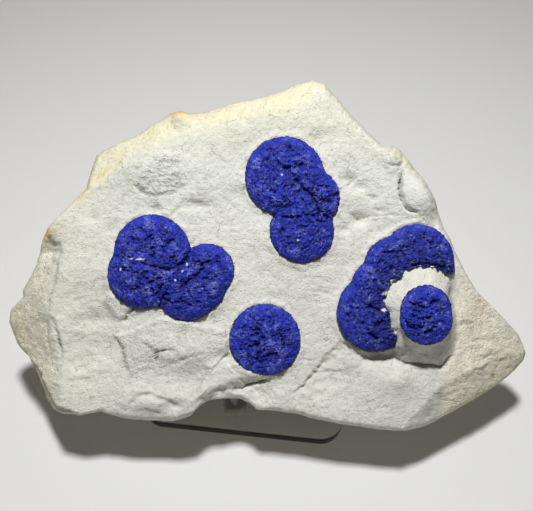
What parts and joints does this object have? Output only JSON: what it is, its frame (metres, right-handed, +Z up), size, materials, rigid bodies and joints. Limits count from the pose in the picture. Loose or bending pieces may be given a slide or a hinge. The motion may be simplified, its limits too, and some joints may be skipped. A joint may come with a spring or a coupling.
{
  "type": "azurite mineral specimen",
  "caption": "Azurite suns grown on a slab of white claystone that leans on a clear acrylic display stand with a base plate and pegs.",
  "frame": {"origin": "on the table, at the middle of the whole object's footprint", "axes": "+X to the right along the slab, +Y away from the viewer, +Z up"},
  "size_m": [0.1956, 0.104, 0.1053],
  "materials": {
    "claystone": "chalky, broken",
    "azurite": "drusy, velvety",
    "acrylic": "clear, polished"
  },
  "bodies": {
    "root": {"claystone_slab": "claystone", "upper_sun": "azurite", "left_sun": "azurite", "round_sun": "azurite", "broken_sun": "azurite", "boss_sun": "azurite", "stand_base": "acrylic", "front_peg": "acrylic", "rear_left_peg": "acrylic", "rear_right_peg": "acrylic"}
  },
  "joints": []
}
